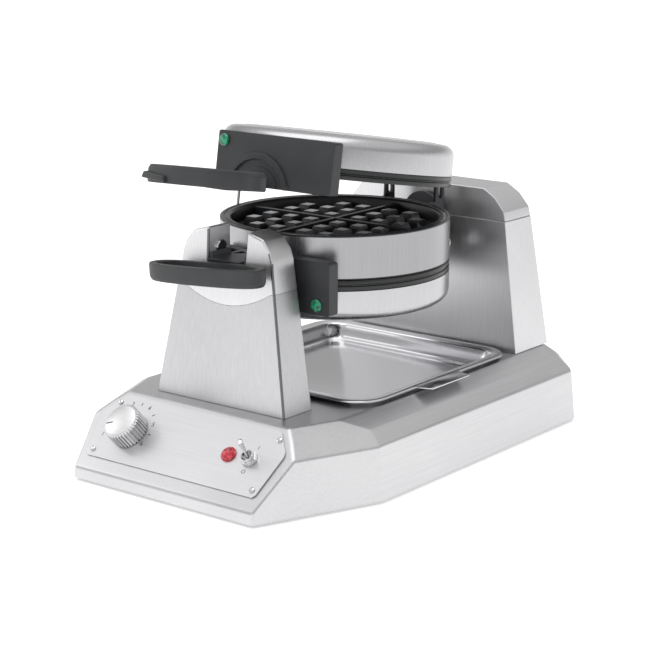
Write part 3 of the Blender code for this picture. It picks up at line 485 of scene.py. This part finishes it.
for word, side in (("left", -1), ("right", 1)):
    middle = (tray["tabFrom"] + tray["tabTo"]) / 2
    inner = tray["width"] / 2 - 3
    deselectAll()
    bpy.ops.mesh.primitive_cube_add(size=1, location=(side * (inner + tray["tabReach"]) / 2 * mm, middle * mm,
                                                      tray["tabHigh"] * mm))
    tab = bpy.context.object
    tab.name = "tray_tab_" + word
    tab.scale = ((tray["tabReach"] - inner) * mm, (tray["tabTo"] - tray["tabFrom"] + 8) * mm,
                 tray["tabThick"] * mm)
    bpy.ops.object.transform_apply(location=True, rotation=True, scale=True)
    bpy.ops.object.mode_set(mode="EDIT")
    bpy.ops.mesh.select_all(action="DESELECT")
    tabMesh = bmesh.from_edit_mesh(tab.data)
    for vertex in tabMesh.verts:
        vertex.select_set(abs(vertex.co.x) > (tray["tabReach"] - 1) * mm)
    tabMesh.select_flush(True)
    bmesh.update_edit_mesh(tab.data)
    bpy.ops.transform.resize(value=(1, tray["tabNarrow"], 1), center_override=(0, middle * mm, 0))
    bpy.ops.mesh.select_all(action="SELECT")
    bpy.ops.mesh.bevel(offset=0.35 * mm, segments=2, affect="EDGES")
    bpy.ops.object.mode_set(mode="OBJECT")
    finishPiece(tab, "traySteel", "tray")
print("drip tray done")

# control panel: everything on it is made flat and then laid on the slope
slope = {"foot": (0, -222.1, 15.3), "angle": math.atan2(54.7, 58.1), "face": 1.5}
dial = {"at": (-63.5, 41.2), "scale": (-67.6, 43.4), "first": 205.0, "step": -46.0, "numbers": 6,
        "ring": 25.8, "size": 6.4, "tickFrom": 24.4, "tickTo": 27.4, "tickWide": 0.9}
switchMarks = {"size": 5.4, "marks": (("switch_mark_on", "I", 76.0, 55.0),
                                      ("switch_mark_off", "O", 73.6, 30.6))}
knob = {"profile": [(0.01, 19.5), (14.4, 19.5), (15.1, 19.2), (15.3, 18.4), (15.3, 17.6), (0.01, 17.6)],
        "pointerAt": 10.6, "pointerLong": 6.5, "pointerWide": 1.1, "pointerHigh": 19.53}


def onSlope(x, up, out=0.0):
    return (Matrix.Translation(Vector(slope["foot"]) * mm) @ Matrix.Rotation(slope["angle"], 4, "X")
            @ Matrix.Translation(Vector((x, up, out)) * mm))


def printed(name, words, size, x, up, out):
    deselectAll()
    bpy.ops.object.text_add(location=(0, 0, 0))
    text = bpy.context.object
    text.data.body = words
    text.data.size = size * mm
    text.data.align_x = "CENTER"
    text.data.align_y = "CENTER"
    text.data.extrude = 0.02 * mm
    bpy.ops.object.convert(target="MESH")
    text = bpy.context.object
    text.name = name
    moveMesh(text, onSlope(x, up, out))
    return text


def printedBar(name, x, up, length, wide, turn, out):
    deselectAll()
    bpy.ops.mesh.primitive_cube_add(size=1)
    bar = bpy.context.object
    bar.name = name
    bar.scale = (length * mm, wide * mm, 0.05 * mm)
    bpy.ops.object.transform_apply(location=True, rotation=True, scale=True)
    bpy.ops.object.mode_set(mode="EDIT")
    bpy.ops.mesh.select_all(action="SELECT")
    bpy.ops.mesh.bevel(offset=0.012 * mm, segments=1, affect="EDGES")
    bpy.ops.object.mode_set(mode="OBJECT")
    moveMesh(bar, onSlope(x, up, out) @ Matrix.Rotation(math.radians(turn), 4, "Z"))
    return bar


inkHeight = slope["face"] + 0.03
for number in range(dial["numbers"]):
    turn = math.radians(dial["first"] + dial["step"] * number)
    mark = printed("dial_number_" + str(number + 1), str(number + 1), dial["size"],
                   dial["scale"][0] + dial["ring"] * math.cos(turn),
                   dial["scale"][1] + dial["ring"] * math.sin(turn), inkHeight)
    finishPiece(mark, "ink", "base")
    if number < dial["numbers"] - 1:
        between = turn + math.radians(dial["step"] / 2)
        middle = (dial["tickFrom"] + dial["tickTo"]) / 2
        tick = printedBar("dial_tick_" + str(number + 1), dial["scale"][0] + middle * math.cos(between),
                          dial["scale"][1] + middle * math.sin(between), dial["tickTo"] - dial["tickFrom"],
                          dial["tickWide"], math.degrees(between), inkHeight)
        finishPiece(tick, "ink", "base")
for name, words, x, up in switchMarks["marks"]:
    finishPiece(printed(name, words, switchMarks["size"], x, up, inkHeight), "ink", "base")

knobCap = turnedForm("knob_cap", (0, 0, 0), knob["profile"], steps=72, closed=False)
moveMesh(knobCap, onSlope(dial["at"][0], dial["at"][1]))
finishPiece(knobCap, "knobFace", "dial")
pointerTurn = math.radians(dial["first"])
pointer = printedBar("knob_pointer", dial["at"][0] + knob["pointerAt"] * math.cos(pointerTurn),
                     dial["at"][1] + knob["pointerAt"] * math.sin(pointerTurn), knob["pointerLong"],
                     knob["pointerWide"], dial["first"], knob["pointerHigh"])
finishPiece(pointer, "ink", "dial")
print("control panel done")

# catch in the left ear of the front pylon: a dark socket under a bright half hoop
catch = {"x": -20.9, "y": -117.2, "low": 190.5, "high": 203.0, "half": 6.2, "thick": 0.9, "hoop": 1.1}
deselectAll()
bpy.ops.mesh.primitive_cylinder_add(vertices=32, radius=catch["half"] * mm, depth=catch["thick"] * mm,
                                    rotation=(0, math.pi / 2, 0),
                                    location=(catch["x"] * mm, catch["y"] * mm, catch["high"] * mm))
socket = bpy.context.object
socket.name = "catch_socket"
bpy.ops.object.transform_apply(location=True, rotation=True, scale=True)
bpy.ops.object.mode_set(mode="EDIT")
bpy.ops.mesh.select_all(action="DESELECT")
socketMesh = bmesh.from_edit_mesh(socket.data)
for vertex in socketMesh.verts:
    if vertex.co.z < catch["high"] * mm:
        vertex.co.z = catch["low"] * mm
bpy.ops.mesh.select_all(action="SELECT")
bmesh.update_edit_mesh(socket.data)
bpy.ops.mesh.remove_doubles(threshold=0.00002)
bpy.ops.mesh.bevel(offset=0.2 * mm, segments=1, affect="EDGES")
bpy.ops.object.mode_set(mode="OBJECT")
finishPiece(socket, "blackSteel", "base")
deselectAll()
bpy.ops.mesh.primitive_torus_add(major_radius=(catch["half"] - 0.2) * mm, minor_radius=catch["hoop"] * mm,
                                 major_segments=40, minor_segments=10, rotation=(0, math.pi / 2, 0),
                                 location=((catch["x"] + 0.5) * mm, catch["y"] * mm, catch["high"] * mm))
hoop = bpy.context.object
hoop.name = "catch_hoop"
bpy.ops.object.transform_apply(location=True, rotation=True, scale=True)
bpy.ops.object.mode_set(mode="EDIT")
bpy.ops.mesh.select_all(action="SELECT")
bpy.ops.mesh.bisect(plane_co=(0, 0, (catch["high"] + 1.0) * mm), plane_no=(0, 0, 1), use_fill=True,
                    clear_inner=True)
bpy.ops.object.mode_set(mode="OBJECT")
finishPiece(hoop, "chrome", "base")
print("catch done")

# studio
floorSize = {"side": 12.0}
deselectAll()
bpy.ops.mesh.primitive_plane_add(size=floorSize["side"], location=(0, 0, 0))
floor = bpy.context.object
floor.name = "studio_floor"
paper, _, paperShader = startMaterial("studio paper", "#ffffff", 0.85, Emission_Strength=0.45)
paperShader.inputs["Emission Color"].default_value = toColour("#ffffff")
floor.data.materials.append(paper)

world = bpy.data.worlds.new("studio")
bpy.context.scene.world = world
world.use_nodes = True
sky = world.node_tree
skyPlace = addNode(sky, "ShaderNodeTexCoord")
skyParts = addNode(sky, "ShaderNodeSeparateXYZ", links={"Vector": skyPlace.outputs["Generated"]})
skyRamp = addNode(sky, "ShaderNodeValToRGB", links={"Fac": skyParts.outputs["Z"]})
setGreys(skyRamp, [(0.0, 1.0), (0.1, 0.85), (0.24, 0.42), (0.42, 0.48), (0.7, 0.8)])
sky.links.new(skyRamp.outputs["Color"], sky.nodes["Background"].inputs["Color"])
sky.nodes["Background"].inputs["Strength"].default_value = 1.0

lights = {
    "overhead": {"at": (-0.3, -0.2, 1.9), "size": 1.6, "power": 9, "to": (0, 0, 0.1)},
    "left": {"at": (-1.9, -1.0, 1.1), "size": 1.2, "power": 6, "to": (0, 0, 0.15)},
    "front": {"at": (0.5, -2.4, 0.9), "size": 1.0, "power": 4, "to": (0, 0, 0.15)},
}
for name, light in lights.items():
    lamp = bpy.data.lights.new(name, "AREA")
    lamp.size = light["size"]
    lamp.energy = light["power"]
    holder = bpy.data.objects.new(name, lamp)
    holder.location = light["at"]
    aim = Vector(light["to"]) - Vector(light["at"])
    holder.rotation_euler = aim.to_track_quat("-Z", "Y").to_euler()
    bpy.context.scene.collection.objects.link(holder)

view = {"from": (1.0689, -1.3528, 0.5410), "to": (-0.00518, 0.00946, 0.11047), "lens": 106.07}
camera = bpy.data.cameras.new("camera")
camera.lens = view["lens"]
camera.sensor_width = 36
camera.clip_end = 30
cameraHolder = bpy.data.objects.new("camera", camera)
cameraHolder.location = view["from"]
looking = Vector(view["to"]) - Vector(view["from"])
cameraHolder.rotation_euler = looking.to_track_quat("-Z", "Y").to_euler()
bpy.context.scene.collection.objects.link(cameraHolder)
bpy.context.scene.camera = cameraHolder
bpy.context.scene.view_settings.view_transform = "Standard"
print("studio done")
